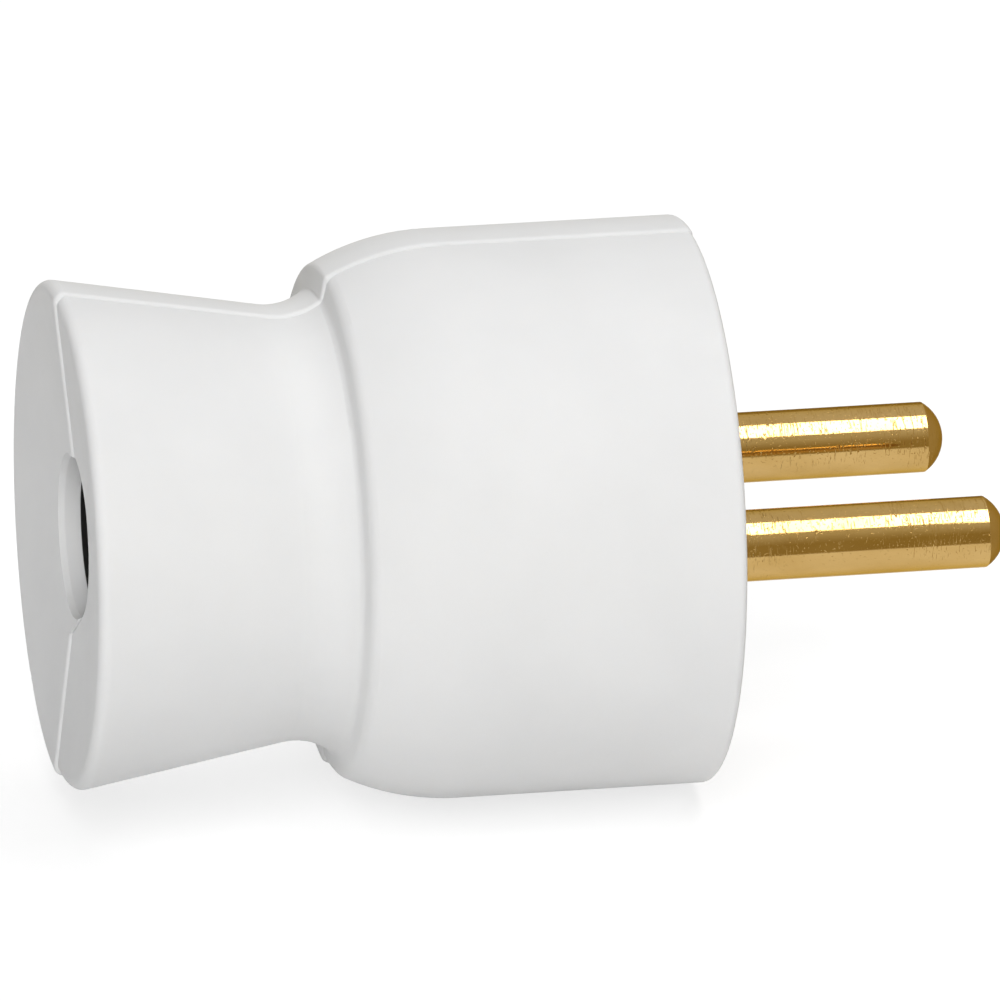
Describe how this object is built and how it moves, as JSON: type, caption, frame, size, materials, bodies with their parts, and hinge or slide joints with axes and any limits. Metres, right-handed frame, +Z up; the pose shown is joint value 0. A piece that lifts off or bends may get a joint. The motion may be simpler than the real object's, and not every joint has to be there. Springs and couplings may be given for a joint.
{
  "type": "grounded plug",
  "caption": "Grounded mains plug with bare round brass pins, a recessed earth socket and a flared white split housing; ends a cord and plugs it into a wall socket.",
  "frame": {"origin": "centre of the engagement face, midway between the pins", "axes": "+X along the pins, out of the face; +Y along the line of the pins, from the neutral pin to the line pin; +Z up, away from the earth socket"},
  "size_m": [0.0627, 0.0382, 0.0384],
  "materials": {
    "housing_plastic": "satin moulded white",
    "carrier_plastic": "matt moulded white",
    "clamp_plastic": "matt moulded white",
    "pin_brass": "bright turned brass",
    "socket_brass": "turned brass",
    "screw_steel": "bright zinc-plated",
    "spring_steel": "bright rolled spring steel"
  },
  "bodies": {
    "root": {"clamp_half_shell": "housing_plastic", "cover_half_shell": "housing_plastic", "contact_carrier": "carrier_plastic", "line_pin": "pin_brass", "neutral_pin": "pin_brass", "earth_socket": "socket_brass", "earth_socket_spring": "spring_steel", "line_terminal_screw": "screw_steel", "neutral_terminal_screw": "screw_steel", "earth_terminal_screw": "screw_steel", "cord_clamp_bar": "clamp_plastic", "upper_clamp_screw": "screw_steel", "lower_clamp_screw": "screw_steel", "front_cover_screw": "screw_steel", "rear_cover_screw": "screw_steel"}
  },
  "joints": []
}
